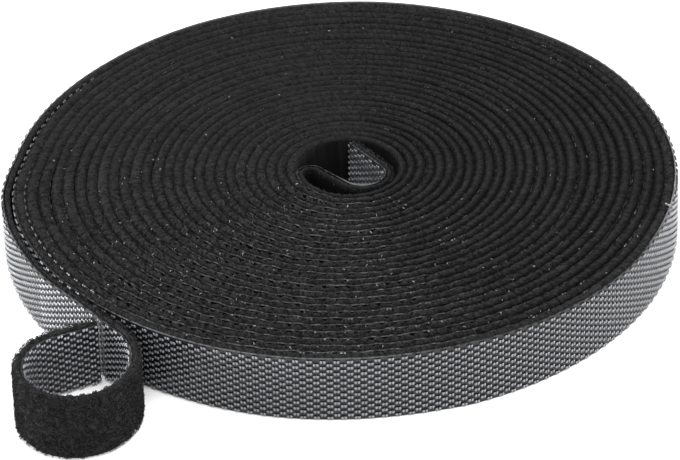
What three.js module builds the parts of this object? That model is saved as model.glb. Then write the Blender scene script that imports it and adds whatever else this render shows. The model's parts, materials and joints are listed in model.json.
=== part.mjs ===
// Roll of hook and loop tape, wound flat without a core, with its free end curled beside it.
// The tape is two webs bonded back to back: a moulded film whose hooks face out of the roll,
// and a fabric whose pile faces in. Millimetres, +Z up, the roll lying on its lower edges.
import * as THREE from 'three';

const degrees = THREE.MathUtils.degToRad;
const FULL_TURN = 2 * Math.PI;

// Tape
const TAPE_WIDTH = 10;
const HOOK_THICKNESS = 0.45; // film with its hooks
const LOOP_THICKNESS = 0.65; // fabric with its pile
const BOND_LINE = 0.1; // between the two webs

// Winding, counter-clockwise from the eye outwards
const TURNS = 23; // full turns, before the part turn that ends at the tail
const TURN_GAP = 0.54; // slack between one turn and the next
const EYE_RADIUS = 7.4; // of the bond line where the innermost turn starts
const EYE_SHIFT = new THREE.Vector2(0.6, 0.4); // from the roll's axis to the middle of the eye
const START_ANGLE = degrees(194);
const TAIL_ANGLE = degrees(220);
const OVALITY = 0.8; // by which the outer turn is longer and shorter than its mean radius
const OVAL_ANGLE = degrees(29); // of the long axis
const CHORD_SAG = 0.26; // furthest that a chord leaves the spiral

// Inner end, an S in the eye that springs against the innermost turn
const INNER_BEND_RADIUS = 1.8;
const INNER_BEND_TURN = degrees(148);
const FOLD_RADIUS = 3.4;
const FOLD_TURN = degrees(171);
const EYE_CLEARANCE = 0.5; // from the fold and the cut end to the innermost turn

// Tail, which leaves the roll straight and curls away from it
const LEAD_LENGTH = 9.3;
const NEAR_RADIUS = 9.1; // of the curl's first bends
const FAR_RADIUS = 6.85; // of the curl's other bends
const LINKS = 5; // stretches of the curl that hinge on each other
const LINK_TURN = degrees(54);
const LAST_TURN = degrees(43); // of the last link's round part, before its straight end
const END_CLEARANCE = 0.5; // from the free end to the lead that it springs against
const JOINT_GAP = 0.3; // between two stretches of the tape that hinge on each other
const ARC_STEP = degrees(18.5);

// What follows from the sizes above
const HOOK_FACE = BOND_LINE / 2 + HOOK_THICKNESS; // from the middle of the bond to the hooks' tips
const LOOP_FACE = BOND_LINE / 2 + LOOP_THICKNESS; // from the middle of the bond to the pile's face
const PITCH = HOOK_FACE + LOOP_FACE + TURN_GAP;
const WINDING_ANGLE = TURNS * FULL_TURN + TAIL_ANGLE - START_ANGLE;

// A station is a point on the tape's middle line with the way that the tape runs there.
const along = (heading) => new THREE.Vector2(Math.cos(heading), Math.sin(heading));
const leftOf = (heading) => along(heading + Math.PI / 2);
const rightOf = (heading) => along(heading - Math.PI / 2);

function ahead(station, distance) {
  const point = station.point.clone().addScaledVector(along(station.heading), distance);
  return { point, heading: station.heading };
}

function toTheRight(station, distance) {
  return station.point.clone().addScaledVector(rightOf(station.heading), distance);
}

// Follows an arc; a positive turn is to the left. The first station is the start itself.
function arc(start, radius, turn) {
  const lever = radius * Math.sign(turn);
  const centre = toTheRight(start, -lever);
  const steps = Math.ceil(Math.abs(turn) / ARC_STEP);
  return Array.from({ length: steps + 1 }, (_, i) => {
    const heading = start.heading + (turn * i) / steps;
    return { point: centre.clone().addScaledVector(rightOf(heading), lever), heading };
  });
}

const turnedBack = (stations) =>
  stations.map(({ point, heading }) => ({ point, heading: heading + Math.PI })).reverse();

// Distance from a point, along a heading, to the far side of a circle round the origin
function distanceToCircle(point, heading, radius) {
  const inLine = point.dot(along(heading));
  return Math.sqrt(inLine ** 2 - point.lengthSq() + radius ** 2) - inLine;
}

// Spiral of the wound turns, which is round at the eye and slightly oval outside
function spiralRadius(angle) {
  const turnsMade = (angle - START_ANGLE) / FULL_TURN;
  const progress = (angle - START_ANGLE) / WINDING_ANGLE;
  return EYE_RADIUS + PITCH * turnsMade + OVALITY * progress * Math.cos(2 * (angle - OVAL_ANGLE));
}

function spiralPoint(angle) {
  const progress = (angle - START_ANGLE) / WINDING_ANGLE;
  const centre = EYE_SHIFT.clone().multiplyScalar(1 - progress);
  return centre.addScaledVector(along(angle), spiralRadius(angle));
}

function spiralStation(angle) {
  const nudge = degrees(0.01);
  const run = spiralPoint(angle + nudge).sub(spiralPoint(angle - nudge));
  return { point: spiralPoint(angle), heading: Math.atan2(run.y, run.x) };
}

function spiralStations() {
  const stations = [];
  const end = START_ANGLE + WINDING_ANGLE;
  let angle = START_ANGLE;
  while (angle < end) {
    stations.push(spiralStation(angle));
    angle += 2 * Math.acos(1 - CHORD_SAG / spiralRadius(angle));
  }
  return [...stations, spiralStation(end)];
}

// The inner end is followed from the innermost turn back to its cut end.
function innerEnd(spiralStart) {
  const [start] = turnedBack([spiralStart]);
  const bend = arc(start, INNER_BEND_RADIUS, -INNER_BEND_TURN);
  const bendEnd = bend.at(-1);

  // The run across the eye ends where the fold lies against the turn a quarter of the way round.
  const foldOffset = EYE_RADIUS + PITCH / 4 - 2 * LOOP_FACE - EYE_CLEARANCE - FOLD_RADIUS;
  const foldCentre = toTheRight(bendEnd, -FOLD_RADIUS).sub(EYE_SHIFT);
  const foldStart = ahead(bendEnd, distanceToCircle(foldCentre, bendEnd.heading, foldOffset));
  const fold = arc(foldStart, FOLD_RADIUS, FOLD_TURN);

  // The tip runs on until its pile lies against the turn half way round.
  const tipStart = ahead(fold.at(-1), JOINT_GAP);
  const tipReach = EYE_RADIUS + PITCH / 2 - LOOP_FACE - EYE_CLEARANCE;
  const tipPile = toTheRight(tipStart, LOOP_FACE).sub(EYE_SHIFT);
  const tipEnd = ahead(tipStart, distanceToCircle(tipPile, tipStart.heading, tipReach));
  return {
    fold: turnedBack([...bend, ...fold]),
    tip: turnedBack([tipStart, tipEnd]),
  };
}

function tail(spiralEnd) {
  const leadStart = ahead(spiralEnd, JOINT_GAP);
  const bendStart = ahead(leadStart, LEAD_LENGTH);
  const lead = [leadStart, ...arc(bendStart, NEAR_RADIUS, -LINK_TURN / 2)];
  const stretches = [lead];
  for (let i = 1; i <= LINKS; i += 1) {
    const start = ahead(stretches.at(-1).at(-1), JOINT_GAP);
    const radius = i === 1 ? NEAR_RADIUS : FAR_RADIUS;
    stretches.push(arc(start, radius, i === LINKS ? -LAST_TURN : -LINK_TURN));
  }

  // The free end runs on until its pile lies against the hooks of the lead.
  const last = stretches.at(-1);
  const outward = rightOf(leadStart.heading);
  const pile = toTheRight(last.at(-1), -LOOP_FACE).sub(leadStart.point);
  const gap = pile.dot(outward) - HOOK_FACE - END_CLEARANCE;
  last.push(ahead(last.at(-1), -gap / along(last.at(-1).heading).dot(outward)));
  return stretches;
}

// A ply is the plan of a ribbon between two offsets from the middle line, raised to the tape's width.
function ply(stations, nearSide, farSide) {
  const near = stations.map((station) => toTheRight(station, nearSide));
  const far = stations.map((station) => toTheRight(station, farSide)).reverse();
  const plan = new THREE.Shape([...near, ...far]);
  return new THREE.ExtrudeGeometry(plan, { depth: TAPE_WIDTH, bevelEnabled: false });
}

function hookWeb(name, stations) {
  const film = new THREE.MeshStandardMaterial({ color: 0x2e2f31, roughness: 0.45, metalness: 0 });
  const mesh = new THREE.Mesh(ply(stations, BOND_LINE / 2, HOOK_FACE), film);
  mesh.name = `${name}_hook_web`;
  return mesh;
}

function loopWeb(name, stations) {
  const pile = new THREE.MeshStandardMaterial({ color: 0x1c1c1e, roughness: 0.95, metalness: 0 });
  const mesh = new THREE.Mesh(ply(stations, -BOND_LINE / 2, -LOOP_FACE), pile);
  mesh.name = `${name}_loop_web`;
  return mesh;
}

const bothWebs = (name, stations) => [hookWeb(name, stations), loopWeb(name, stations)];

// A stretch of tape that hinges on another turns about a vertical line through its pivot.
function hinged(parent, name, pivot, stations) {
  const group = new THREE.Group();
  group.name = `${name}_hinge`;
  group.position.set(pivot.x, pivot.y, 0);
  group.updateMatrixWorld();
  bothWebs(name, stations).forEach((mesh) => group.attach(mesh));
  parent.attach(group);
  return group;
}

function distanceToRun(point, from, to) {
  const run = to.clone().sub(from);
  const share = THREE.MathUtils.clamp(point.clone().sub(from).dot(run) / run.lengthSq(), 0, 1);
  return point.distanceTo(from.clone().addScaledVector(run, share));
}

// Least gap between the two faces of a web where different turns face each other
function leastGap(stations, nearSide, farSide) {
  const sameTurn = 2 * Math.PI * INNER_BEND_RADIUS; // length of tape within which faces are one bend
  const near = stations.map((station) => toTheRight(station, nearSide));
  const far = stations.map((station) => toTheRight(station, farSide));
  const travelled = [0];
  for (let i = 1; i < stations.length; i += 1) {
    travelled.push(travelled[i - 1] + stations[i].point.distanceTo(stations[i - 1].point));
  }
  let least = Infinity;
  for (const [points, runs] of [[near, far], [far, near], [near, near], [far, far]]) {
    points.forEach((point, i) => {
      for (let j = 1; j < runs.length; j += 1) {
        if (Math.abs(travelled[j] - travelled[i]) < sameTurn) continue;
        least = Math.min(least, distanceToRun(point, runs[j - 1], runs[j]));
      }
    });
  }
  return least;
}

// The roll, its inner tip and its tail
const spiral = spiralStations();
const inner = innerEnd(spiral[0]);
const wound = [...inner.fold, ...spiral.slice(1)];
const stretches = tail(spiral.at(-1));

const part = new THREE.Group();
part.name = 'tape_roll';
bothWebs('wound', wound).forEach((mesh) => part.add(mesh));

const tipPivot = toTheRight(ahead(inner.tip.at(-1), JOINT_GAP / 2), HOOK_FACE);
hinged(part, 'inner_tip', tipPivot, inner.tip);

// The tail peels away from the roll about the hooks' tips, and its curl opens about the pile's face.
const leadPivot = toTheRight(ahead(stretches[0][0], -JOINT_GAP / 2), HOOK_FACE);
let carrier = hinged(part, 'tail_lead', leadPivot, stretches[0]);
for (let i = 1; i <= LINKS; i += 1) {
  const pivot = toTheRight(ahead(stretches[i][0], -JOINT_GAP / 2), -LOOP_FACE);
  carrier = hinged(carrier, `curl_${i}`, pivot, stretches[i]);
}

const hookGap = leastGap(wound, BOND_LINE / 2, HOOK_FACE);
const loopGap = leastGap(wound, -BOND_LINE / 2, -LOOP_FACE);
console.log(`least gap of the wound hook web to itself ${hookGap.toFixed(2)} mm`);
console.log(`least gap of the wound loop web to itself ${loopGap.toFixed(2)} mm`);

// The origin is under the middle of the part's box, on the surface that it lies on.
const box = new THREE.Box3().setFromObject(part);
const middle = box.getCenter(new THREE.Vector3());
part.position.set(-middle.x, -middle.y, -box.min.z);
part.updateMatrixWorld(true);

export default part;
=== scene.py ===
"""Looks of a roll of hook and loop tape: the film with its moulded hooks, the fabric with its looped pile,
a camera at the photograph's angle, a pale floor and soft light.

Lengths are millimetres until a mesh is made. A place on the tape is given by its length along the tape,
its height up from the lower edge, and its distance out from the bond between film and fabric, towards
the hooks.
"""

import json
import math

import bpy
import numpy as np
from mathutils import Matrix, Vector


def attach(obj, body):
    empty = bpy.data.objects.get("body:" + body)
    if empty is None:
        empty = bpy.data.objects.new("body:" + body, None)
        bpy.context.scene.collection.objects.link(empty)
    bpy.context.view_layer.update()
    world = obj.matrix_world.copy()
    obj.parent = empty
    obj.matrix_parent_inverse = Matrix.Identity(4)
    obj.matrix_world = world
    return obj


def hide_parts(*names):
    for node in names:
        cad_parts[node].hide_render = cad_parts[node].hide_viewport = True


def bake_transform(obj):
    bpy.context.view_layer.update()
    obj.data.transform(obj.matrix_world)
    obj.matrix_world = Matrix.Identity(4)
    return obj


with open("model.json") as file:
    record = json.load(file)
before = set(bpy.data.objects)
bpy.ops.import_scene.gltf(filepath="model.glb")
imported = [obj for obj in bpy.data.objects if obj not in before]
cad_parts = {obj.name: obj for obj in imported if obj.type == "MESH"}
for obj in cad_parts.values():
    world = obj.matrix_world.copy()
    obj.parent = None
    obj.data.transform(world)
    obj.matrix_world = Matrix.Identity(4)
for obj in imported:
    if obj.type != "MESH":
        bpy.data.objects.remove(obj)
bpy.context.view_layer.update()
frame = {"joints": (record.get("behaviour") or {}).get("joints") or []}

MM = 0.001
FULL_TURN = 2 * math.pi

# Camera, fitted to the photographed roll
IMAGE_WIDTH = 680  # pixels
FOCAL_LENGTH = 3619  # pixels
SENSOR_WIDTH = 36
CAMERA_DISTANCE = 504
CAMERA_ELEVATION = math.radians(34.08)
CAMERA_ROLL = math.radians(-0.97)
CAMERA_TARGET = (-0.78, -15.69, 10)  # from the roll's axis, on its upper face

# Tape, as in the solids
TAPE_WIDTH = 10
BOND_LINE = 0.1
HOOK_FACE = 0.5
LOOP_FACE = 0.7

# Winding: the solids' rise from eye to tail, in the turns that the photograph shows
SOLID_TURNS = 23
SOLID_PITCH = 1.74
TURNS = 27
OUTER_PITCH = 1.59
EYE_RADIUS = 7.4
EYE_SHIFT = (0.6, 0.4)
START_ANGLE = math.radians(194)
TAIL_ANGLE = math.radians(220)
OVALITY = 0.8
OVAL_ANGLE = math.radians(29)
OPEN_ANGLE = math.radians(257)  # of the stretch where the film shows between the turns
SHADED_GROOVES_ANGLE = math.radians(5)  # of the stretch where the grooves get the most painted shade and their hooks the most painted light
LIT_WALL_ANGLE = math.radians(35)  # of the side of the eye's wall that gets less painted shade
WOUND_TURNS = TURNS + (TAIL_ANGLE - START_ANGLE) / FULL_TURN
INNER_PITCH = 2 * SOLID_PITCH * (WOUND_TURNS - TURNS + SOLID_TURNS) / WOUND_TURNS - OUTER_PITCH

# Inner end and tail, as in the solids
INNER_BEND_RADIUS = 1.8
INNER_BEND_TURN = math.radians(148)
FOLD_RADIUS = 3.4
FOLD_TURN = math.radians(171)
EYE_CLEARANCE = 0.5
LEAD_LENGTH = 9.3
NEAR_RADIUS = 9.1
FAR_RADIUS = 6.85
LINKS = 5
LINK_TURN = math.radians(54)
LAST_TURN = math.radians(43)
END_CLEARANCE = 0.5
JOINT_GAP = 0.3

# How far the outer turns stray from their spiral: degrees round the roll, then millimetres out at the
# tape's foot and at its head
STRAY = np.array([
    (0, 0.35, 0.1), (20, 0.1, -0.2), (36, 0, 0), (55, 0, -0.2), (72, 0, 0.03), (84, 0.1, 0.25),
    (118, 0.1, 0.15), (140, 0, -0.33), (170, 0.1, -0.4), (176, 0.4, -0.3), (181, 0.52, 0.22),
    (186, 0.55, 0.62), (196, 0.32, 0.68), (208, 0.2, 0.42), (214, 0.2, 0.36), (220, 0.1, 0.1),
    (240, 0, 0.1), (256, 0.2, 0.12), (278, 0.25, 0.12), (286, 0.4, 0.18), (291, 0.65, 0.2),
    (312, 0.6, 0.52), (325, 0.62, 0.5), (336, 0.6, 0.24), (360, 0.35, 0.1)])
STRAY_RADII = (38, 46)  # between which the turns begin to stray

# How the tape lies in the roll. A wave's pace is its length for each radian.
SETTLING = 60  # length over which turns come to lie like the rest
LOOSENING = 10  # length over which the tape comes free of the roll
OUTERMOST_ONSET = 20
SLACK_WAVES = ((0.05, 7.3, 0), (0.04, 11.9, 1.3))  # height, pace and phase
LIFT = 0.045
LIFT_WAVES = ((23.0, 0), (57.0, 0.7))  # pace and phase

# Film and hooks
FILM_FACE = 0.25
FILM_BEVEL = 0.08
TAIL_UPPER_INSET = 0.3  # of the film's upper edge from the fabric's, along the tail
TAIL_LOWER_INSET = 0.35
HOOK_TOP = 0.56
HOOK_ROWS = 10
HOOK_ROW_PITCH = 0.96
HOOK_COLUMN_PITCH = 0.9
HOOK_TOP_MARGIN = 0.44  # from the tape's upper edge to the first hooks of every other column
HOOK_CREST = 0.205  # from the stem to the middle of a head, along the tape
HEAD_REACH = 0.175  # from a head's middle to its end, along the tape
HEAD_HALF_WIDTH = 0.25  # across the tape
BRIDGE_HALF_WIDTH = 0.1  # between the two heads
HEAD_HALF_DEPTH = 0.075
BRIDGE_HALF_DEPTH = 0.03
HEAD_DROOP = 0.11
BRIDGE_DROOP = 0.06
HOOK_STEM = 0.08  # half of the stem's side
STEM_ROOT = 0.02
FILM_MIDDLE = 2  # down from the film's upper edge
FILM_SAG = 0.004
FOLD_FLARE = 0.26  # by which the film leans out along the fold
EDGE_DROP = 0.5  # of the film's upper edge below the pile's
OPEN_EDGE_RISE = 0.28  # of that edge where the film shows
EDGE_WAVE = 0.12
EDGE_WAVES = ((1.7, 0), (0.61, 2))  # radians for each millimetre, and phase
DROP_ONSET = (-2, 10)  # from the spiral's start
GROOVE_SHARE = 0.85  # of the hooks between wound turns, which show
GROOVE_HOOK_RISE = (-0.05, 0.2)
GROOVE_OUTER_STRETCH = 1200  # along which their painted light grows
INNER_HOOKS = 25  # length of the spiral with all its hooks
GROOVE_HOOKS = 62  # length of the groove beside the tail whose hooks show
SECOND_GROOVE_HOOKS = 50  # the same one turn further in
SNAG_PLACE = 101  # from the outermost turn's start
SNAG_SPACING = 0.3
SNAG_RISE = ((0.25, 0.3, -0.9), (-0.5, 0.35, -0.6))  # along, up and out
SNAG_HEIGHTS = (0.9, 0.5)
SNAG_WIDTHS = (0.15, 0.2)

# Paleness of film and hooks: their own tone, and painted highlights, light and shade
FACE_PALENESS = 0.3
# Painted light on the film's face along the tail, against the shade inside the curl
TAIL_PAINTED_LIGHT = 0.15
# Painted highlights on the film's upper edge: along the fold, at the front, at the rear as a pale rim, and
# in the open grooves
FOLD_EDGE_HIGHLIGHT = 0.85
GROOVE_EDGE_HIGHLIGHT = 0.34
FRONT_EDGE_HIGHLIGHT = (0.3, 0.4)  # on the outermost turn's edge and beside it
REAR_EDGE_HIGHLIGHT = (1.1, 0.5)
FRONT_HIGHLIGHT_SPAN = (-2, 14, 40, 64)  # from the outermost turn's start
REAR_HIGHLIGHT_SPAN = (84, 104, 250, 270)
FOLD_END = 5  # from the spiral
FOLD_ONSET = 4
FOLD_FADE = 9
EYE_FADE = 12
# A painted highlight on the hooks' heads: palest at each head's crest and outer side, less towards its ends
# and the bridge, and more on its upper side where the top light falls
END_SHARE_OF_HIGHLIGHT = 0.5
BRIDGE_SHARE_OF_HIGHLIGHT = 0.25
HEAD_HIGHLIGHT_ROUND = ((-1, 0, 0.72, 1), (0.6, 0.42, 0.6, 1.0))  # from its inner to its outer side
UPPER_PAINTED_HIGHLIGHT = 0.25
STEM_PALENESS = 0.15
TOP_DIMMED_HOOKS = 4  # down from the tape's upper edge, the band of hooks that gets painted shade under the top light
# Painted light on the hooks of the eye and the curl, to lift them out of the shade there, and in the eye
# painted shade on the uppermost ones under the top light
INNER_HOOK_PAINTED_LIGHT = {"palest": 1.5, "painted_top_dimming": 0.3}
TAIL_HOOK_PAINTED_LIGHT = {"palest": 1.4}
SHADED_GROOVE_HOOKS = 0.3  # painted shade on the hooks between wound turns, and the painted light added to it
FRONT_HOOK_PAINTED_LIGHT = 0.7
RIGHT_HOOK_PAINTED_LIGHT = 0.4
OUTER_HOOK_PAINTED_LIGHT = 0.5

# Fabric and its loops, whose depth is measured from the bond
EYE_PILE = 0.9  # in the eye
GROOVE_PILE = 0.85  # on the outermost turn's last stretch
FREE_PILE = 1.0  # on the tail
PILE_SEAT = 0.1  # by which a wound turn's pile is pressed over the film beneath
PILE_OVERHANG = 0.2  # of a wound turn's pile over its own film, except at the front
PILE_RISE = 0.03  # of the fabric's upper edge above the tape's width
PILE_CROWN = 0.75  # by which the fabric's edges fall towards the pile's face
WOUND_CROWN = 0.38  # the same between wound turns
FILM_SIDE_FALL = 0.28  # by which the fabric's upper edge falls towards the film
PILE_ROUGHNESS = 0.09
LOOP_RADIUS = 0.035
EDGE_LOOPS = 6.2  # per millimetre of wound edge
FACE_LOOPS = 22.0  # per square millimetre of open pile
SPECKS = 0.02  # of the front's loops, which catch the light
SPECK_PALENESS = 1.25
BACK_SPECKS = 0.1  # share of the specks round the rest of the roll
OPEN_GROOVE = 0.2  # by which the pile stands off where the film shows
HOLE_DEPTH = 0.55  # beside every other hook
HOLE_ONSET = 0.7
HOLE_DRIFT = (0.9, 0.37)  # along the tape, and radians of it for each millimetre
HOLE_VARIETY = (0.3, 0.71)  # in size, the same
CLOSED_HOLES = 0.15  # share of their depth round the rest of the roll
GROOVE_STRETCH = (85, 45)  # before the tail, where the outermost turn comes to stand off
CROWN_POWER = 1.3
FABRIC_TOPS = 7  # points over the upper edge
FABRIC_BOTTOMS = 3
FABRIC_SAG = 0.02
FABRIC_PARTS = 5
WOUND_PACE = 0.25  # between sections
FREE_PACE = 0.35
FREE_FACE_ROWS = 24
GRAIN_LIMIT = 1.8  # roughnesses
FRONT_GRAIN = 0.6
WOUND_GRAIN = 0.4
FABRIC_SHADE = 0.56
EYE_WALL_PAINTED_SHADE = 0.5  # painted shade on the eye's wall
LIT_WALL = 0.42  # less painted shade on its lit side
WALL_TOP = 0.2
GRAIN_SHADE = 4  # roughnesses for each unit of shade
# Painted shade in the grooves between wound turns, more on the roll's right, and a little round its back
GROOVE_PAINTED_SHADE = 0.1
RIDGED_PAINTED_SHADE = 0.45
BACK_PAINTED_SHADE = 0.05
LOOP_PAINTED_SHADE = 1.6  # of the grooves' painted shade on loops, against the fabric's
LOOP_LEAN = 0.45
LOOP_HEIGHTS = (0.4, 1.0)
LOOP_WIDTHS = (0.07, 0.18)
EDGE_LEAN = 0.6
EDGE_ROOT = 0.05
EDGE_MARGIN = 0.1
WOUND_LOOP_HEIGHT = 0.28
FREE_LOOP_HEIGHT = 0.3
BACK_PRESS = 0.25  # by which loops are lower round the rest of the roll
OUTERMOST_PRESS = 0.6
FACE_LOOP_HEIGHT = 0.5
FACE_LOOP_FOOT = 0.3
FACE_LOOP_ROOT = 0.08
FACE_LOOP_PALENESS = 0.9
FACE_TOP = 0.6  # where the open pile's loops lean up

# Maps and normals
CELL_MARGIN = 0.04
MAP_STRETCH = 4
SHARP_ANGLE = math.radians(80)

# Joints of the tape
ROOT_REACH = 8  # of the tail's first stretch, back along the roll
FOLD_REACH = 4  # of the inner end's stretch, back along the fold


def ease(value, start, end):
    """0 before the start, 1 after the end, smooth between."""
    share = np.clip((value - start) / (end - start), 0, 1)
    return share * share * (3 - 2 * share)


def between(value, begins, full, fades, ends):
    """Rises from 0 to 1 and falls back to 0."""
    return ease(value, begins, full) * ease(value, ends, fades)


def unit(vectors):
    return vectors / np.linalg.norm(vectors, axis=1)[:, None]


# Middle line of the tape. A station is a point and the way that the tape runs there.

def ahead(station, distance):
    x, y, heading = station
    return x + distance * math.cos(heading), y + distance * math.sin(heading), heading


def to_the_right(station, distance):
    x, y, heading = station
    return np.array([x + distance * math.sin(heading), y - distance * math.cos(heading)])


def turned_back(stations):
    return [(x, y, heading + math.pi) for x, y, heading in reversed(stations)]


def arc(start, radius, turn, step=math.radians(1.5)):
    """Stations on an arc, its start included; a positive turn is to the left."""
    lever = math.copysign(radius, turn)
    centre = to_the_right(start, -lever)
    count = math.ceil(abs(turn) / step)
    headings = [start[2] + turn * i / count for i in range(count + 1)]
    return [(*(centre + lever * np.array([math.sin(h), -math.cos(h)])), h) for h in headings]


def distance_to_circle(point, heading, radius):
    in_line = point @ np.array([math.cos(heading), math.sin(heading)])
    return math.sqrt(in_line**2 - point @ point + radius**2) - in_line


def spiral():
    """Stations of the wound turns, which lie closer towards the eye and are slightly oval outside."""
    share = np.linspace(0, 1, TURNS * 1000)
    angle = START_ANGLE + WOUND_TURNS * FULL_TURN * share
    radius = EYE_RADIUS + WOUND_TURNS * share * (INNER_PITCH + (OUTER_PITCH - INNER_PITCH) * share / 2)
    radius += OVALITY * share * np.cos(2 * (angle - OVAL_ANGLE))
    x = EYE_SHIFT[0] * (1 - share) + radius * np.cos(angle)
    y = EYE_SHIFT[1] * (1 - share) + radius * np.sin(angle)
    heading = np.arctan2(np.gradient(y), np.gradient(x))
    return list(zip(x, y, heading))


def inner_end(spiral_start):
    """Stations from the inner end's cut to the innermost turn, and how many of them are the tip's."""
    start = turned_back([spiral_start])[0]
    bend = arc(start, INNER_BEND_RADIUS, -INNER_BEND_TURN)
    eye = np.array(EYE_SHIFT)
    fold_offset = EYE_RADIUS + SOLID_PITCH / 4 - 2 * LOOP_FACE - EYE_CLEARANCE - FOLD_RADIUS
    fold_centre = to_the_right(bend[-1], -FOLD_RADIUS) - eye
    run = distance_to_circle(fold_centre, bend[-1][2], fold_offset)
    fold = arc(ahead(bend[-1], run), FOLD_RADIUS, FOLD_TURN)
    tip_start = ahead(fold[-1], JOINT_GAP)
    tip_reach = EYE_RADIUS + SOLID_PITCH / 2 - LOOP_FACE - EYE_CLEARANCE
    tip_pile = to_the_right(tip_start, LOOP_FACE) - eye
    tip_run = distance_to_circle(tip_pile, tip_start[2], tip_reach)
    tip = [tip_start, ahead(tip_start, tip_run)]
    return turned_back([*bend[1:], *fold, *tip]), len(tip)


def tail(spiral_end):
    """Stations of the lead and of each link of the curl."""
    lead_start = ahead(spiral_end, JOINT_GAP)
    lead = [lead_start, *arc(ahead(lead_start, LEAD_LENGTH), NEAR_RADIUS, -LINK_TURN / 2)]
    stretches = [lead]
    for link in range(1, LINKS + 1):
        start = ahead(stretches[-1][-1], JOINT_GAP)
        radius = NEAR_RADIUS if link == 1 else FAR_RADIUS
        stretches.append(arc(start, radius, -LAST_TURN if link == LINKS else -LINK_TURN))
    end = stretches[-1][-1]
    outward = np.array([math.sin(lead_start[2]), -math.cos(lead_start[2])])
    pile = to_the_right(end, -LOOP_FACE) - np.array(lead_start[:2])
    gap = pile @ outward - HOOK_FACE - END_CLEARANCE
    closing = -np.array([math.cos(end[2]), math.sin(end[2])]) @ outward
    stretches[-1].append(ahead(end, gap / closing))
    return stretches


class Line:
    """The whole middle line, from the cut inner end to the free end, measured along its length."""

    def __init__(self):
        wound = spiral()
        inner, tip_count = inner_end(wound[0])
        stretches = tail(wound[-1])
        stations = np.array([*inner, *wound, *(s for stretch in stretches for s in stretch)])
        self.x, self.y = stations[:, 0], stations[:, 1]
        self.heading = np.unwrap(stations[:, 2])
        steps = np.hypot(np.diff(self.x), np.diff(self.y))
        self.length = np.concatenate([[0], np.cumsum(steps)])
        ends = len(inner) + len(wound) + np.cumsum([0] + [len(s) for s in stretches])
        self.end = self.length[-1]
        self.tip_joint = self.length[tip_count - 1] + JOINT_GAP / 2
        self.spiral_start = self.length[len(inner)]
        self.outer_start = self.length[len(inner) + round(len(wound) * (1 - 1 / WOUND_TURNS))]
        self.outer_radius = np.hypot(*self.station(self.outer_start)[:2])
        self.joints = [self.length[i] - JOINT_GAP / 2 for i in ends[:-1]]  # of the lead and of each link
        self.link_middles = [(a + b) / 2 for a, b in zip(self.joints, self.joints[1:])]
        pivot = to_the_right(self.station(self.joints[0]), HOOK_FACE) * MM
        peel = next(j for j in frame["joints"] if j["name"] == "tail_peel")
        self.origin = np.array(peel["pos_m"][:2]) - pivot  # the roll's axis in the frame, in metres

    def station(self, length):
        return tuple(np.interp(length, self.length, row) for row in (self.x, self.y, self.heading))

    def place(self, length, up, out):
        """Points in the frame, in metres."""
        x, y, heading = self.station(length)
        across = np.stack([x + out * np.sin(heading), y - out * np.cos(heading)], -1) * MM + self.origin
        return np.concatenate([across, np.broadcast_to(up, length.shape)[..., None] * MM], -1)

    def steps(self, start, end, sag, longest):
        """Lengths from start to end, so close that a chord strays from the line by sag at most."""
        bend = np.gradient(self.heading, np.maximum(self.length, np.arange(len(self.length)) * 1e-9))
        pace = np.minimum(np.sqrt(8 * sag / np.maximum(np.abs(bend), 1e-6)), longest)
        count = np.concatenate([[0], np.cumsum(np.diff(self.length) / pace[1:])])
        first, last = np.interp([start, end], self.length, count)
        share = np.linspace(first, last, max(2, math.ceil(last - first) + 1))
        return np.interp(share, count, self.length)


line = Line()


# How the tape lies in the roll: the turns are a little slack and not all at the same height.

def settled(length):
    """0 along the inner end, the outermost turn and the tail, 1 on the turns between."""
    begun = ease(length, line.spiral_start, line.spiral_start + SETTLING)
    return begun * ease(length, line.outer_start, line.outer_start - SETTLING)


def packed(length):
    """1 on all the wound turns, the outermost one too, and 0 along the inner end and the tail."""
    begun = ease(length, line.spiral_start, line.spiral_start + SETTLING)
    return begun * ease(length, line.joints[0], line.joints[0] - LOOSENING)


def outermost(length):
    """1 on the outermost turn, 0 elsewhere."""
    return ease(length, line.outer_start - OUTERMOST_ONSET, line.outer_start) * packed(length)


def slack(length):
    """How far out the turns stand from their spiral."""
    waves = sum(height * np.sin(length / pace + phase) for height, pace, phase in SLACK_WAVES)
    return settled(length) * waves


def lift(length):
    """How much higher the turns lie than the lowest."""
    waves = sum((np.sin(length / pace + phase) for pace, phase in LIFT_WAVES), len(LIFT_WAVES))
    return settled(length) * LIFT * waves


def stray(length, up):
    """How much further out the outer turns stand."""
    x, y, _ = line.station(length)
    azimuth = np.degrees(np.arctan2(y, x)) % 360
    foot, head = (np.interp(azimuth, STRAY[:, 0], STRAY[:, i]) for i in (1, 2))
    share = ease(np.hypot(x, y), *STRAY_RADII) * ease(length, line.joints[0], line.joints[0] - ROOT_REACH)
    return share * (foot + (head - foot) * up / TAPE_WIDTH)


def facing(length, angle):
    """From 1 at an angle round the roll to -1 on the opposite side."""
    x, y, _ = line.station(length)
    return (x * math.cos(angle) + y * math.sin(angle)) / np.hypot(x, y)


def opened(length, start=0.6, end=0.95):
    """1 at the roll's front left, where the film shows, and 0 round the rest of it."""
    return ease(facing(length, OPEN_ANGLE), start, end)


def lay(length, up, out):
    """Points on the tape as it lies, in metres."""
    return line.place(length, up + lift(length), out + slack(length) + stray(length, up))


def thinned(length):
    """How far the wound pile stands off beside every other hook, from 0 to 1."""
    drift = HOLE_DRIFT[0] * np.sin(HOLE_DRIFT[1] * length)
    beat = np.sin(math.pi * length / HOOK_COLUMN_PITCH + drift)
    variety = HOLE_VARIETY[0] * np.sin(HOLE_VARIETY[1] * length)
    holes = ease(beat + variety, 0.0, HOLE_ONSET)
    return settled(length) * holes * (CLOSED_HOLES + (1 - CLOSED_HOLES) * opened(length))


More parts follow.
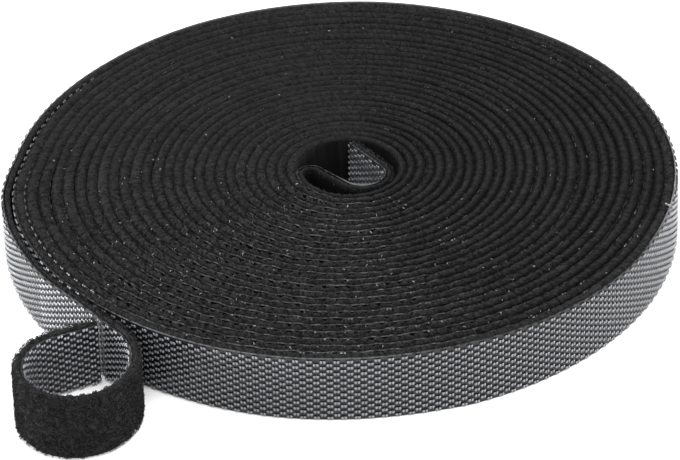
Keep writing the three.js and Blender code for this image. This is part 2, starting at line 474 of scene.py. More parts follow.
def pile_depth(length):
    """From the bond to the pile's face. Wound pile fills the room that the film leaves."""
    share = (length - line.spiral_start) / (line.joints[0] - line.spiral_start)
    pitch = INNER_PITCH + (OUTER_PITCH - INNER_PITCH) * np.sqrt(np.clip(share, 0, 1))
    room = pitch - FILM_FACE + PILE_SEAT
    full = room - OPEN_GROOVE * settled(length) * opened(length) - HOLE_DEPTH * thinned(length)
    begun = ease(length, line.spiral_start + SETTLING / 2, line.spiral_start + SETTLING)
    wound = EYE_PILE + (full - EYE_PILE) * begun
    freed = ease(length, line.joints[0] - LOOSENING, line.joints[0])
    loose = GROOVE_PILE + (FREE_PILE - GROOVE_PILE) * freed
    far, near = GROOVE_STRETCH
    return wound + (loose - wound) * ease(length, line.joints[0] - far, line.joints[0] - near)


# Meshes

def linked(name, data):
    """A new object in the scene."""
    thing = bpy.data.objects.new(name, data)
    bpy.context.scene.collection.objects.link(thing)
    return thing


def tube_faces(rings, sides):
    """Quads round a tube, and each corner's place on a unit square."""
    ring, side = (a.ravel() for a in np.meshgrid(np.arange(rings - 1), np.arange(sides), indexing="ij"))
    after = (side + 1) % sides
    quads = np.stack([ring * sides + side, ring * sides + after, (ring + 1) * sides + after,
                      (ring + 1) * sides + side], 1)
    u = np.stack([ring, ring, ring + 1, ring + 1], 1) / (rings - 1)
    v = np.stack([side, side + 1, side + 1, side], 1) / sides
    return quads, np.stack([u, v], 2)


def end_faces(rings, sides):
    """The two faces that close a tube, and each corner's place on a unit square."""
    corner = np.arange(sides)
    faces = np.stack([corner[::-1], (rings - 1) * sides + corner])
    angle = FULL_TURN * corner / sides
    spot = 0.5 + 0.4 * np.stack([np.cos(angle), np.sin(angle)], 1)
    return faces, np.stack([spot[::-1], spot])


def in_cells(spots, cell, columns, rows):
    """Places on unit squares, moved to the squares' cells on a sheet of columns and rows."""
    corner = np.stack([cell % columns, cell // columns], -1)[:, None, :]
    return (corner + CELL_MARGIN + (1 - 2 * CELL_MARGIN) * spots) / [columns, rows]


class Skin:
    """Gathers the parts of one piece: points with a shade each, and faces with a material and a map."""

    def __init__(self):
        self.points, self.shades, self.faces, self.maps, self.slots = [], [], [], [], []
        self.bands = []
        self.count = 0

    def add(self, points, shade, parts, band):
        """parts are (faces, map, slot); band is the part's share of the sheet that the map lies on."""
        points = points.reshape(-1, 3)
        self.points.append(points)
        self.shades.append(np.broadcast_to(shade, len(points)).astype(np.float32))
        for faces, spots, slot in parts:
            self.faces.append(faces + self.count)
            self.maps.append((len(self.bands), spots))
            self.slots.append(np.broadcast_to(slot, len(faces)))
        self.bands.append(band)
        self.count += len(points)

    def sheet(self):
        """Each face corner's place on the whole piece's map, the parts' bands one above the other."""
        tops = np.cumsum(self.bands) / np.sum(self.bands)
        bottoms = np.concatenate([[0], tops[:-1]])
        places = []
        for band, spots in self.maps:
            low, high = bottoms[band], tops[band]
            places.append((spots * [1, high - low] + [0, low]).reshape(-1, 2))
        return np.concatenate(places)

    def sharpen_slot_borders(self, mesh, slot_of_corner):
        """Edges between two materials are sharp."""
        edge_of_corner = np.empty(len(mesh.loops), np.int32)
        mesh.loops.foreach_get("edge_index", edge_of_corner)
        lowest = np.full(len(mesh.edges), slot_of_corner.max())
        highest = np.zeros(len(mesh.edges), lowest.dtype)
        np.minimum.at(lowest, edge_of_corner, slot_of_corner)
        np.maximum.at(highest, edge_of_corner, slot_of_corner)
        sharp = np.empty(len(mesh.edges), bool)
        mesh.edges.foreach_get("use_edge_sharp", sharp)
        mesh.edges.foreach_set("use_edge_sharp", sharp | (lowest != highest))

    def build(self, name, materials):
        mesh = bpy.data.meshes.new(name)
        corners = np.concatenate([faces.ravel() for faces in self.faces])
        sizes = np.concatenate([np.full(len(faces), faces.shape[1]) for faces in self.faces])
        mesh.vertices.add(self.count)
        mesh.vertices.foreach_set("co", np.concatenate(self.points).astype(np.float32).ravel())
        mesh.loops.add(len(corners))
        mesh.loops.foreach_set("vertex_index", corners.astype(np.int32))
        mesh.polygons.add(len(sizes))
        mesh.polygons.foreach_set("loop_start", (np.cumsum(sizes) - sizes).astype(np.int32))
        mesh.polygons.foreach_set("material_index", np.concatenate(self.slots).astype(np.int32))
        for material in materials:
            mesh.materials.append(material)
        mesh.update(calc_edges=True)
        mesh.shade_smooth()
        mesh.set_sharp_from_angle(angle=SHARP_ANGLE)
        self.sharpen_slot_borders(mesh, np.concatenate(self.slots).repeat(sizes))
        shade = mesh.attributes.new("shade", "FLOAT", "POINT")
        shade.data.foreach_set("value", np.concatenate(self.shades))
        sheet = mesh.uv_layers.new(name="OFBake")
        sheet.uv.foreach_set("vector", self.sheet().astype(np.float32).ravel())
        return linked(name, mesh)


def ribbon(skin, length, up, out, shade, slots, band):
    """A closed skin through sections, a row of up and out for each length, with a material for each side."""
    rings, sides = np.broadcast_shapes(up.shape, out.shape, (len(length), 1))
    along = np.repeat(length[:, None], sides, 1)
    points = lay(along, np.broadcast_to(up, along.shape), out)
    quads, spots = tube_faces(rings, sides)
    rows = max(1, round(math.sqrt(rings / sides / MAP_STRETCH)))
    in_row = math.ceil((rings - 1) / rows)
    ring = np.arange(rings - 1).repeat(sides)
    spots = spots * [rings - 1, 1] - np.stack([ring // in_row * in_row, 0 * ring], 1)[:, None, :]
    spots = in_cells(spots / [in_row, 1], ring // in_row, 1, rows)
    ends, end_spots = end_faces(rings, sides)
    side_slots = np.tile(np.broadcast_to(slots, sides), rings - 1)
    parts = [(quads, spots, side_slots), (ends, end_spots / [1, rows], side_slots[0])]
    skin.add(points, np.broadcast_to(shade, (rings, sides)).ravel(), parts, band)


def copies(skin, length, up, out, template, shade, slot, band):
    """Copies of a small tube at places on the tape. The template is (rings, sides, along-up-out)."""
    count = len(length)
    rings, sides = template.shape[-3:-1]
    at = np.stack([length, up, out], -1)[:, None, None, :] + template
    points = lay(at[..., 0], at[..., 1], at[..., 2])
    columns = math.ceil(math.sqrt(count))
    rows = math.ceil(count / columns)
    parts = []
    for faces, spots in (tube_faces(rings, sides), end_faces(rings, sides)):
        cell = np.arange(count).repeat(len(faces))
        first_points = rings * sides * np.arange(count)[:, None, None]
        all_faces = (faces[None] + first_points).reshape(-1, faces.shape[1])
        parts.append((all_faces, in_cells(np.tile(spots, (count, 1, 1)), cell, columns, rows), slot))
    skin.add(points, np.broadcast_to(shade, (count, rings, sides)).ravel(), parts, band)


# Materials

def new_material(name, specular):
    material = bpy.data.materials.new(name)
    material.use_nodes = True
    tree = material.node_tree
    shader = tree.nodes["Principled BSDF"]
    shader.inputs["Specular IOR Level"].default_value = specular
    return material, tree, shader


def noise(tree, scale, detail=2.0):
    """A noise over the object's own coordinates; scale is in grains per metre."""
    place = tree.nodes.new("ShaderNodeTexCoord")
    texture = tree.nodes.new("ShaderNodeTexNoise")
    texture.inputs["Scale"].default_value = scale
    texture.inputs["Detail"].default_value = detail
    tree.links.new(place.outputs["Object"], texture.inputs["Vector"])
    return texture.outputs["Fac"]


def shade_of(tree):
    reader = tree.nodes.new("ShaderNodeAttribute")
    reader.attribute_name = "shade"
    return reader.outputs["Fac"]


def ramp(tree, factor, stops):
    """Grey levels at places along a factor; a stop is (place, grey, warmth)."""
    node = tree.nodes.new("ShaderNodeValToRGB")
    elements = node.color_ramp.elements
    while len(elements) < len(stops):
        elements.new(0.5)
    for element, (place, grey, warmth) in zip(elements, stops):
        element.position = place
        element.color = (grey * (1 + warmth / 3), grey, grey * (1 - warmth), 1)
    tree.links.new(factor, node.inputs["Fac"])
    return node.outputs["Color"]


def mixed(tree, first, second, share):
    """A value between two others."""
    node = tree.nodes.new("ShaderNodeMix")
    node.inputs["Factor"].default_value = share
    tree.links.new(first, node.inputs["A"])
    tree.links.new(second, node.inputs["B"])
    return node.outputs["Result"]


def ranged(tree, value, low, high):
    node = tree.nodes.new("ShaderNodeMapRange")
    node.inputs["To Min"].default_value = low
    node.inputs["To Max"].default_value = high
    tree.links.new(value, node.inputs["Value"])
    return node.outputs["Result"]


def bumped(material, scale, detail, strength, depth):
    """The same material, with a noise as its relief."""
    tree = material.node_tree
    node = tree.nodes.new("ShaderNodeBump")
    node.inputs["Strength"].default_value = strength
    node.inputs["Distance"].default_value = depth * MM
    tree.links.new(noise(tree, scale, detail), node.inputs["Height"])
    tree.links.new(node.outputs["Normal"], tree.nodes["Principled BSDF"].inputs["Normal"])
    return material


def moulded_material(name, stops, grain, unevenness, polish, specular):
    """Black plastic, whose paleness and roughness are uneven; polish is a noise's scale and two levels."""
    material, tree, shader = new_material(name, specular)
    paleness = mixed(tree, shade_of(tree), noise(tree, *grain), unevenness)
    tree.links.new(ramp(tree, paleness, stops), shader.inputs["Base Color"])
    scale, low, high = polish
    tree.links.new(ranged(tree, noise(tree, scale), low, high), shader.inputs["Roughness"])
    return material


def pile_material(name, stops, evenness):
    """Black nylon pile, uneven from tuft to tuft."""
    material, tree, shader = new_material(name, 0.05)
    tufts = mixed(tree, shade_of(tree), noise(tree, 3600, 3), evenness)
    patches = mixed(tree, tufts, noise(tree, 160), 0.15)
    tree.links.new(ramp(tree, patches, stops), shader.inputs["Base Color"])
    tree.links.new(ranged(tree, tufts, 0.8, 1.0), shader.inputs["Roughness"])
    shader.inputs["Sheen Weight"].default_value = 0.01
    shader.inputs["Sheen Roughness"].default_value = 0.5
    return bumped(material, 6000, 3, 0.7, 0.12)


FILM, CUT, HOOK = 0, 1, 2
# The palest stops carry painted light: highlights on hook heads and slit edges, and the lifted film in the
# eye and curl
FILM_STOPS = [(0.15, 0.002, -0.1), (0.45, 0.007, -0.12), (0.9, 0.12, -0.08)]
CUT_STOPS = [(0.25, 0.002, 0), (0.33, 0.008, 0), (0.42, 0.04, -0.02), (0.65, 0.085, -0.03),
             (1.0, 0.35, -0.03)]
HOOK_STOPS = [(0.08, 0.008, 0), (0.5, 0.058, -0.1), (0.95, 0.21, -0.08), (1.0, 0.4, -0.06)]
film_look = moulded_material("hook_film", FILM_STOPS, (1100, 2), 0.4, (1100, 0.25, 0.4), 0.33)
cut_look = moulded_material("slit_edge", CUT_STOPS, (1500, 3), 0.6, (2500, 0.5, 0.75), 0.15)
hook_look = moulded_material("moulded_hooks", HOOK_STOPS, (1500, 3), 0.15, (3000, 0.25, 0.4), 0.7)
HOOK_LOOKS = [bumped(film_look, 9000, 2, 0.2, 0.03), cut_look, hook_look]
PILE, FUZZ = 0, 1
BACKING_STOPS = [(0.2, 0.001, 0), (0.4, 0.005, 0), (0.65, 0.014, -0.02)]
FUZZ_STOPS = [(0.15, 0.004, 0), (0.55, 0.013, -0.02), (0.8, 0.03, -0.02), (0.9, 0.06, -0.02),
              (1.0, 0.28, -0.02)]
LOOP_LOOKS = [pile_material("loop_backing", BACKING_STOPS, 0.35),
              pile_material("loop_pile", FUZZ_STOPS, 0.12)]


# Film and hooks

def in_the_fold(length):
    """1 along the fold of the inner end, 0 at the tip and on the roll."""
    first, last = line.tip_joint + FOLD_REACH, line.spiral_start - FOLD_END
    return between(length, first, first + FOLD_ONSET, last - FOLD_FADE, last)


def in_the_eye(length):
    """1 along the inner end, 0 on the roll."""
    return ease(length, line.spiral_start, line.spiral_start - EYE_FADE)


def edge_painted_highlight(length):
    """Painted highlight on the film's upper edge, on top and on its hooks' side, with painted shade beside
    the holes.
    """
    fold = FOLD_EDGE_HIGHLIGHT * in_the_fold(length)
    front = between(length - line.outer_start, *FRONT_HIGHLIGHT_SPAN)
    rear = between(length - line.outer_start, *REAR_HIGHLIGHT_SPAN)
    # Painted highlight in the open grooves, with painted shade beside the pile's holes
    grooves = GROOVE_EDGE_HIGHLIGHT * opened(length) * settled(length) * (1 - thinned(length))
    on_top = fold + FRONT_EDGE_HIGHLIGHT[0] * front + REAR_EDGE_HIGHLIGHT[0] * rear
    beside = grooves + fold + FRONT_EDGE_HIGHLIGHT[1] * front + REAR_EDGE_HIGHLIGHT[1] * rear
    return on_top, beside


def edge_drop(length):
    """How far the film's upper edge lies below the pile's on the wound turns."""
    ripple, swell = (np.sin(pace * length + phase) for pace, phase in EDGE_WAVES)
    depth = EDGE_DROP - OPEN_EDGE_RISE * opened(length) + EDGE_WAVE * ripple * swell
    wound = ease(length - line.spiral_start, *DROP_ONSET)
    return wound * ease(length, line.outer_start, line.outer_start - SETTLING) * depth


def add_film(skin, start, end, band=1.0):
    """The film, with painted highlights on its slit edges. Its section has a bevel at both edges and a
    middle point.
    """
    near, far = BOND_LINE / 2, FILM_FACE
    top, bevel = TAPE_WIDTH, FILM_BEVEL
    section = np.array([(top, near), (top, far - bevel), (top - bevel, far), (top - FILM_MIDDLE, far),
                        (bevel, far), (0, far - bevel), (0, near)])
    slots = [CUT, CUT, FILM, FILM, CUT, CUT, FILM]
    on_face = np.array([0, 0, 1, 1, 1, 0, 0])
    # Painted light on the film's face in the eye, against the dark there
    painted_light_in_eye = np.array([0, 0, 0, 0.4, 0.65, 0, 0])
    flared = np.array([0, 1, 1, 0.8, 0, 0, 0])

    length = line.steps(start, end, FILM_SAG, HOOK_COLUMN_PITCH / 2)[:, None]
    tail_share = ease(length, line.joints[0], line.joints[0] + LOOSENING)
    upper = section[:, 0] > TAPE_WIDTH / 2
    up = section[:, 0] - (edge_drop(length) + TAIL_UPPER_INSET * tail_share) * upper
    up = up + TAIL_LOWER_INSET * tail_share * ~upper
    # Painted highlight on the slit edges, spread onto the face beside them
    on_top, beside = edge_painted_highlight(length)
    edges = np.concatenate([on_top, (on_top + beside) / 2, beside, beside, beside, on_top, on_top], 1)
    # Painted light on the film's face in the eye and along the tail
    face = FACE_PALENESS + in_the_eye(length) * painted_light_in_eye + TAIL_PAINTED_LIGHT * tail_share
    shade = np.where(on_face, np.maximum(face, beside), edges)
    flare = FOLD_FLARE * in_the_fold(length) * flared
    ribbon(skin, length[:, 0], up, section[:, 1] + flare, shade, slots, band)


def heads_template(sides):
    """A hook's two heads and the bridge between them, as one tube along the tape, and its points' shades, a
    painted highlight on each head.
    """
    stations = HOOK_CREST + HEAD_REACH * np.array([-0.7, 0, 0.7, 1])
    along = np.concatenate([-stations[::-1], [0], stations])
    from_crest = (np.abs(along) - HOOK_CREST) / HEAD_REACH
    swell = np.sqrt(np.clip(1 - from_crest**2, 0, 1))
    wide = BRIDGE_HALF_WIDTH + (HEAD_HALF_WIDTH - BRIDGE_HALF_WIDTH) * swell
    thick = BRIDGE_HALF_DEPTH + (HEAD_HALF_DEPTH - BRIDGE_HALF_DEPTH) * swell
    droop = np.where(from_crest > 0, HEAD_DROOP, BRIDGE_DROOP) * from_crest**2
    out = HOOK_TOP - FILM_FACE - HEAD_HALF_DEPTH - droop
    tilt = np.gradient(out, along)
    normal = np.stack([-tilt, np.ones(len(along))], 1) / np.sqrt(1 + tilt**2)[:, None]
    around = -FULL_TURN * np.arange(sides) / sides
    ring = np.zeros((len(along), sides, 3))
    ring[..., 0] = along[:, None] + thick[:, None] * np.cos(around) * normal[:, :1]
    ring[..., 1] = wide[:, None] * np.sin(around)
    ring[..., 2] = out[:, None] + thick[:, None] * np.cos(around) * normal[:, 1:]
    # Painted highlight, peaked at each head's crest and outer side and raised on its upper side
    pale = np.where(from_crest > 0, END_SHARE_OF_HIGHLIGHT, BRIDGE_SHARE_OF_HIGHLIGHT)
    pale = pale + (1 - pale) * swell**2
    painted_head_highlight = np.interp(np.cos(around), *HEAD_HIGHLIGHT_ROUND) + UPPER_PAINTED_HIGHLIGHT * np.sin(around)
    return ring, pale[:, None] * painted_head_highlight


def stem_template(sides=4):
    """A hook's stem, from inside the film to inside the bridge."""
    around = FULL_TURN * (np.arange(sides) + 0.5) / sides
    corner = HOOK_STEM * math.sqrt(2)
    stem = np.zeros((2, sides, 3))
    stem[..., 0] = corner * np.cos(around)
    stem[..., 1] = corner * np.sin(around)
    stem[..., 2] = np.array([-STEM_ROOT, HOOK_TOP - FILM_FACE - 2 * HEAD_HALF_DEPTH])[:, None]
    return stem


def hook_places(start, end, rows, every):
    """Lengths and heights of the hooks between two lengths, in columns that are staggered by half a row."""
    first, last = math.ceil(start / HOOK_COLUMN_PITCH), math.ceil(end / HOOK_COLUMN_PITCH)
    columns = np.arange(first, last)
    columns = columns[columns % every == 0]
    column, row = (a.ravel() for a in np.meshgrid(columns, np.array(rows), indexing="ij"))
    up = TAPE_WIDTH - HOOK_TOP_MARGIN - HOOK_ROW_PITCH * (row + (column % 2) / 2)
    return column * HOOK_COLUMN_PITCH, up


def add_hooks(skin, start, end, rows=range(HOOK_ROWS), sides=8, palest=1.0, least=0.85, painted_top_dimming=1.0,
              raised=0.0):
    """Hooks on the film between two lengths, unevenly pale; palest can add painted light, the top share
    paints shade on the uppermost ones under the top light, and raised is how far the last ones stand up."""
    length, up = hook_places(start, end, rows, 1)
    up = up + raised * ease(length, start, end)
    if len(length) == 0:
        return
    out = np.full(len(length), FILM_FACE)
    heads, shade = heads_template(sides)
    paleness = palest * np.random.default_rng(round(start)).uniform(least, 1.0, len(length))
    # Painted shade on the uppermost hooks, under the top light
    paleness *= np.interp(up, [TAPE_WIDTH - TOP_DIMMED_HOOKS, TAPE_WIDTH], [1, painted_top_dimming])
    copies(skin, length, up, out, heads, paleness[:, None, None] * shade, HOOK, 1.0)
    copies(skin, length, up, out, stem_template(), STEM_PALENESS, HOOK, 0.125)


def add_groove_hooks(skin, start, end):
    """The uppermost hooks between wound turns, dim with painted shade, and some lost in the pile."""
    rng = np.random.default_rng(11)
    length, up = hook_places(start, end, [0], 2)
    shown = rng.uniform(0, 1, len(length)) < GROOVE_SHARE
    length, up = length[shown], up[shown] + rng.uniform(*GROOVE_HOOK_RISE, shown.sum())
    heads, shade = heads_template(4)
    outer = ease(length, line.outer_start - GROOVE_OUTER_STRETCH, line.outer_start)
    right = ease(facing(length, SHADED_GROOVES_ANGLE), 0.3, 0.9)
    # Painted light on them at the roll's front left, on its right and on the outer turns
    paleness = SHADED_GROOVE_HOOKS + FRONT_HOOK_PAINTED_LIGHT * opened(length, -0.3, 0.6) + RIGHT_HOOK_PAINTED_LIGHT * right
    paleness = paleness * (1 + OUTER_HOOK_PAINTED_LIGHT * outer)
    paleness *= 0.1 + 1.2 * rng.uniform(0, 1, len(length)) ** 3
    out = np.full(len(length), FILM_FACE)
    copies(skin, length, up, out, heads, paleness[:, None, None] * shade, HOOK, 1.0)


def add_snag(skin, length):
    """A pale thread that is caught on the film's upper edge and lies over the pile in two loops."""
    rise = unit(np.array(SNAG_RISE))
    sideways = unit(np.cross(rise, [(0, 1.0, 0), (0, 1.0, 0)]))
    heights, widths = np.array(SNAG_HEIGHTS), np.array(SNAG_WIDTHS)
    threads = loops_template(rise, sideways, heights, widths, rings=9, sides=5)
    places = np.array([length, length + SNAG_SPACING])
    copies(skin, places, np.full(2, TAPE_WIDTH), np.full(2, FILM_FACE), threads, 1.0, HOOK, 0.02)


# Fabric and loops

def crown(over, length):
    """Height of the fabric's upper edge, at angles from 0 at the film to a half turn at the pile's face."""
    across = np.cos(over)
    face_side_fall = PILE_CROWN + (WOUND_CROWN - PILE_CROWN) * packed(length)
    fall = np.where(across < 0, face_side_fall * np.abs(across) ** CROWN_POWER, FILM_SIDE_FALL * across**2)
    return TAPE_WIDTH + PILE_RISE - fall


def fabric_sections(length, face_rows):
    """Heights round the fabric's section at each length, over its upper edge, under its lower edge, then up
    its face, and how deep each of these places is, as a share of the pile's depth."""
    over = np.linspace(math.pi, 0, FABRIC_TOPS)
    under = np.linspace(0, math.pi, FABRIC_BOTTOMS)
    face_up = np.linspace(PILE_CROWN, TAPE_WIDTH - PILE_CROWN, face_rows + 2)[1:-1]
    below = np.concatenate([PILE_CROWN * (1 - np.sin(under)), face_up])
    up = np.concatenate([crown(over, length[:, None]), np.tile(below, (len(length), 1))], 1)
    deep = np.concatenate([(1 - np.cos(over)) / 2, (1 - np.cos(under)) / 2, np.ones(face_rows)])
    return up, deep


def out_at(length, deep):
    """The distance out of a place in the fabric."""
    near = BOND_LINE / 2 - PILE_OVERHANG * settled(length) * (1 - opened(length))
    return -(near + deep * (pile_depth(length) - near))


def painted_groove_shade(length, deep):
    """Painted shade on the fabric towards the grooves between wound turns, most on the roll's right, and a
    little round its back.
    """
    ridge = between(deep, 0, 0.5, 0.5, 1)
    shaded_side = ease(facing(length, SHADED_GROOVES_ANGLE), -0.3, 0.9)
    grooves = (GROOVE_PAINTED_SHADE + RIDGED_PAINTED_SHADE * shaded_side) * (1 - ridge)
    return settled(length) * (grooves + BACK_PAINTED_SHADE * (1 - opened(length, -0.5, 0.5)))


def fabric_grain(length, count, seed):
    """Uneven heights and depths at each point of the fabric's sections."""
    grain = np.random.default_rng(seed).normal(0, PILE_ROUGHNESS, (2, len(length), count))
    grain = np.clip(grain, -GRAIN_LIMIT * PILE_ROUGHNESS, GRAIN_LIMIT * PILE_ROUGHNESS)
    grain *= (1 + settled(length) * (FRONT_GRAIN * opened(length, -0.2, 0.95) - WOUND_GRAIN))[:, None]
    grain[:, [0, -1]] = 0  # so that neighbouring stretches meet
    return grain


def fabric_shade(length, up, deep, inside, grain):
    """Shade of each point of the fabric's sections: random grain, and painted shade on the eye's wall and in
    the grooves.
    """
    lit = ease(facing(length, LIT_WALL_ANGLE), 0.3, 0.9)[:, None]
    # Painted shade on the eye's wall, lighter on its lit side and off its top
    wall = (EYE_WALL_PAINTED_SHADE - LIT_WALL * lit) * inside * (up < TAPE_WIDTH - WALL_TOP)
    shade = FABRIC_SHADE - wall + (1 - inside) * grain / PILE_ROUGHNESS / GRAIN_SHADE
    return shade - painted_groove_shade(length[:, None], deep)


def add_fabric(skin, start, end, seed, pace, face_rows=0, band=1.0):
    """The fabric, with uneven tufts on its upper edge and, where its face shows, on that too."""
    length = line.steps(start, end, FABRIC_SAG, pace)
    up, deep = fabric_sections(length, face_rows)
    grain = fabric_grain(length, len(deep), seed)
    upper = (up > TAPE_WIDTH / 2) & (deep > 0) & (deep < 1)
    face = (deep == 1) & (up > PILE_CROWN / 2)
    inside = 1 - ease(length, line.spiral_start + LOOSENING, line.spiral_start + SETTLING)[:, None]
    ups = up + grain[0] * upper
    outs = out_at(length[:, None], deep) + np.abs(grain[1]) * face * (1 - inside)
    ribbon(skin, length, ups, outs, fabric_shade(length, up, deep, inside, grain[0]), PILE, band)


def loops_template(rise, sideways, height, width, rings=5, sides=3):
    """Arched loops, each standing on its root. Vectors are (along, up, out)."""
    bend = np.linspace(-0.3, math.pi + 0.3, rings)
    to_the_side = sideways[:, None, :] * np.cos(bend)[None, :, None]
    upwards = rise[:, None, :] * np.sin(bend)[None, :, None]
    middle = to_the_side * width[:, None, None] + upwards * height[:, None, None]
    outward = (to_the_side + upwards)[:, :, None, :]
    across = np.cross(rise, sideways)[:, None, None, :]
    around = FULL_TURN * np.arange(sides)[:, None] / sides
    ring = outward * np.cos(around) + across * np.sin(around)
    return middle[:, :, None, :] + LOOP_RADIUS * ring


def add_loops(skin, length, up, out, rise, height, rng, palest, specks=0.0):
    """Loops at places on the tape, leaning about the way they rise; specks is the share that is pale."""
    count = len(length)
    leans = unit(rise + rng.normal(0, LOOP_LEAN, (count, 3)))
    sideways = unit(np.cross(leans, rng.normal(0, 1, (count, 3))))
    tall = height * rng.uniform(*LOOP_HEIGHTS, count)
    wide = rng.uniform(*LOOP_WIDTHS, count)
    arches = loops_template(leans, sideways, tall, wide)
    shade = np.where(rng.uniform(0, 1, count) < specks, SPECK_PALENESS, rng.uniform(0, palest, count))
    copies(skin, length, up, out, arches, shade[:, None, None], FUZZ, 1.0)


def add_edge_loops(skin, start, end, seed, per_length, height):
    """Loops that stand up from the fabric's upper edge."""
    rng = np.random.default_rng(seed)
    count = int((end - start) * per_length)
    length = rng.uniform(start, end, count)
    over = rng.uniform(EDGE_MARGIN, math.pi - EDGE_MARGIN, count)
    up = crown(over, length) - EDGE_ROOT
    rise = np.stack([0 * over, np.sin(over), EDGE_LEAN * np.cos(over)], 1)
    deep = (1 - np.cos(over)) / 2
    pressed = BACK_PRESS * settled(length) * (1 - opened(length, 0.1, 0.95))
    heights = height * (1 - pressed - OUTERMOST_PRESS * outermost(length))
    # Loops in the grooves take painted shade
    palest = 1 - LOOP_PAINTED_SHADE * painted_groove_shade(length, deep)
    speckled = BACK_SPECKS + (1 - BACK_SPECKS) * opened(length, -0.2, 0.7)
    specks = SPECKS * settled(length) * speckled
    add_loops(skin, length, up, out_at(length, deep), rise, heights, rng, palest, specks)


def tufted(length, up):
    """How far the pile stands out, from 0 to 1, in tufts of about a millimetre."""
    along = np.sin(4.1 * length + 1.7 * np.sin(1.9 * up))
    across = np.sin(3.7 * up + 1.9 * np.sin(1.3 * length))
    return 0.5 + 0.25 * along + 0.25 * across


def add_face_loops(skin, start, end, seed):
    """Loops that stand out from the open pile."""
    rng = np.random.default_rng(seed)
    count = int((end - start) * TAPE_WIDTH * FACE_LOOPS)
    length = rng.uniform(start, end, count)
    up = rng.uniform(FACE_LOOP_FOOT, TAPE_WIDTH, count)
    lean = 0.5 * ease(up, TAPE_WIDTH - FACE_TOP, TAPE_WIDTH)
    rise = np.stack([0 * up, lean, -np.ones(count)], 1)
    heights = FACE_LOOP_HEIGHT * (0.5 + 0.5 * tufted(length, up))
    root = out_at(length, 1) + FACE_LOOP_ROOT
    add_loops(skin, length, up, root, rise, heights, rng, FACE_LOOP_PALENESS)


# Pieces

def dress(piece, slot, *nodes):
    if nodes:
        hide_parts(*nodes)


def make_wound_film(start, end):
    """The film that stays in the roll, and its hooks."""
    eye_end = line.spiral_start + INNER_HOOKS
    film, inner_hooks, grooves = Skin(), Skin(), Skin()
    add_film(film, start, end)
    # The hooks in the eye get painted light, and painted shade on the uppermost ones
    add_hooks(inner_hooks, start, eye_end, **INNER_HOOK_PAINTED_LIGHT)
    pieces = [(film.build("wound_hook_film", HOOK_LOOKS), ["wound_hook_web"])]
    pieces.append((inner_hooks.build("inner_hooks", HOOK_LOOKS), []))

    # More hooks show where the outermost turn stands off.
    shown = line.outer_start - GROOVE_HOOKS
    add_groove_hooks(grooves, eye_end, shown)
    # These and the next turn's groove hooks are made paler as painted light, as only their upper sides show
    # down in the grooves
    add_hooks(grooves, shown, line.outer_start, rows=range(2), sides=6, palest=1.7, least=0.5, raised=0.25)
    second = line.outer_start - FULL_TURN * (line.outer_radius - OUTER_PITCH)
    second_shown = second - SECOND_GROOVE_HOOKS
    add_hooks(grooves, second_shown, second, rows=range(1), sides=6, palest=1.1, least=0.3, raised=0.4)
    add_snag(grooves, line.outer_start + SNAG_PLACE)
    pieces.append((grooves.build("wound_groove_hooks", HOOK_LOOKS), []))

    thirds = np.linspace(line.outer_start, end, 4)
    for name, first, last in zip(("front", "right", "rear"), thirds, thirds[1:]):
        hooks = Skin()
        add_hooks(hooks, first, last)
        pieces.append((hooks.build(f"outer_hooks_{name}", HOOK_LOOKS), []))
    for piece, nodes in pieces:
        dress(piece, "hook_film", *nodes)
        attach(piece, "roll")


def make_wound_fabric(start, end):
    """The fabric that stays in the roll, and the loops on its upper edge."""
    pieces = []
    cuts = np.linspace(start, end, FABRIC_PARTS + 1)
    for part, (first, last) in enumerate(zip(cuts, cuts[1:]), 1):
        fabric, fuzz = Skin(), Skin()
        add_fabric(fabric, first, last, part, WOUND_PACE)
        add_edge_loops(fuzz, first, last, part + 4, EDGE_LOOPS, WOUND_LOOP_HEIGHT)
        nodes = ["wound_loop_web"] if part == 1 else []
        pieces.append((fabric.build(f"wound_loop_fabric_{part}", LOOP_LOOKS), nodes))
        pieces.append((fuzz.build(f"wound_loop_fuzz_{part}", LOOP_LOOKS), []))
    for piece, nodes in pieces:
        dress(piece, "loop_pile", *nodes)
        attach(piece, "roll")


def make_bending_tape(name, node, start, end, joint, before):
    """A stretch of tape across a joint between two bodies, film and fabric."""
    at_inner_end = before == "inner_tip"
    film, fabric = Skin(), Skin()
    add_film(film, start, end, 0.2)
    # Hooks in the eye and in the curl get painted light
    add_hooks(film, start, end, **(INNER_HOOK_PAINTED_LIGHT if at_inner_end else TAIL_HOOK_PAINTED_LIGHT))
    seed = round(joint)
    add_fabric(fabric, start, end, seed, FREE_PACE, FREE_FACE_ROWS, 0.3)
    add_face_loops(fabric, start, end, seed + 1)
    add_edge_loops(fabric, start, end, seed + 2, 2 * EDGE_LOOPS, FREE_LOOP_HEIGHT)
    webs = ((film, "hook", "hook_film", HOOK_LOOKS), (fabric, "loop", "loop_pile", LOOP_LOOKS))
    for skin, web, slot, looks in webs:
        piece = skin.build(f"{name}_{web}_tape", looks)
        dress(piece, slot, f"{node}_{web}_web")
        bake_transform(piece)


def make_tape():
    wound_start = line.tip_joint + FOLD_REACH
    wound_end = line.joints[0] - ROOT_REACH
    make_wound_film(wound_start, wound_end)
    make_wound_fabric(wound_start, wound_end)
    make_bending_tape("inner_end", "inner_tip", 0, wound_start, line.tip_joint, "inner_tip")
    bodies = ["roll", "tail_lead", *(f"curl_{i}" for i in range(1, LINKS + 1))]
    names = ["tail_root", *(f"curl_bend_{i}" for i in range(1, LINKS + 1))]
    cuts = [wound_end, *line.link_middles, line.end]
    for i, joint in enumerate(line.joints):
        make_bending_tape(names[i], bodies[i + 1], cuts[i], cuts[i + 1], joint, bodies[i])


make_tape()


# Camera, floor and light

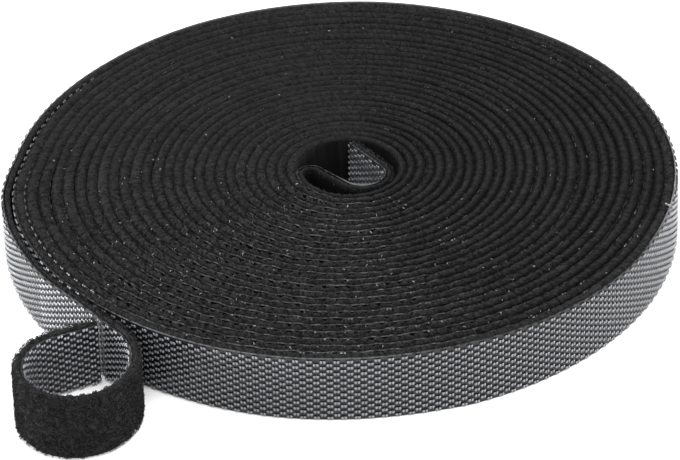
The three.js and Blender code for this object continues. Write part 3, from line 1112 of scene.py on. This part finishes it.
def make_camera():
    forward = Vector((0, math.cos(CAMERA_ELEVATION), -math.sin(CAMERA_ELEVATION)))
    level_up = Vector((0, math.sin(CAMERA_ELEVATION), math.cos(CAMERA_ELEVATION)))
    right = math.cos(CAMERA_ROLL) * Vector((1, 0, 0)) + math.sin(CAMERA_ROLL) * level_up
    up = math.cos(CAMERA_ROLL) * level_up - math.sin(CAMERA_ROLL) * Vector((1, 0, 0))
    target = Vector(CAMERA_TARGET) * MM + Vector((*line.origin, 0))
    data = bpy.data.cameras.new("camera")
    data.sensor_width = SENSOR_WIDTH
    data.lens = FOCAL_LENGTH / IMAGE_WIDTH * SENSOR_WIDTH
    data.clip_start = 0.01
    camera = linked("camera", data)
    camera.matrix_world = Matrix((right, up, -forward)).transposed().to_4x4()
    camera.location = target - forward * CAMERA_DISTANCE * MM
    bpy.context.scene.camera = camera


def make_floor():
    half = 3
    corners = [(-half, -half), (half, -half), (half, half), (-half, half)]
    mesh = bpy.data.meshes.new("floor")
    mesh.from_pydata([(x, y, -0.02 * MM) for x, y in corners], [], [(0, 1, 2, 3)])
    material, tree, shader = new_material("pale_floor", 0.1)
    tone = ramp(tree, noise(tree, 3), [(0.3, 0.86, 0), (0.7, 0.9, 0)])
    tree.links.new(tone, shader.inputs["Base Color"])
    shader.inputs["Roughness"].default_value = 0.9
    mesh.materials.append(material)
    linked("floor", mesh)


def add_softbox(name, place, wide, tall, power):
    """An area light that faces the roll."""
    data = bpy.data.lights.new(name, "AREA")
    data.shape = "RECTANGLE"
    data.size = wide
    data.size_y = tall
    data.energy = power
    light = linked(name, data)
    light.location = place
    light.rotation_mode = "QUATERNION"
    light.rotation_quaternion = (-Vector(place)).to_track_quat("-Z", "Y")


def make_light():
    world = bpy.data.worlds.new("studio")
    world.use_nodes = True
    background = world.node_tree.nodes["Background"]
    background.inputs["Color"].default_value = (1, 1, 1, 1)
    background.inputs["Strength"].default_value = 0.9
    bpy.context.scene.world = world
    add_softbox("top_light", (0.1, -0.1, 0.9), 0.8, 0.8, 11)
    add_softbox("front_light", (-0.2, -0.9, 0.5), 0.6, 0.6, 5)
    add_softbox("left_light", (-0.9, -0.05, 0.11), 0.6, 0.2, 21)
    add_softbox("right_light", (0.9, -0.1, 0.11), 0.6, 0.2, 13)
    bpy.context.scene.view_settings.view_transform = "Standard"


make_camera()
make_floor()
make_light()
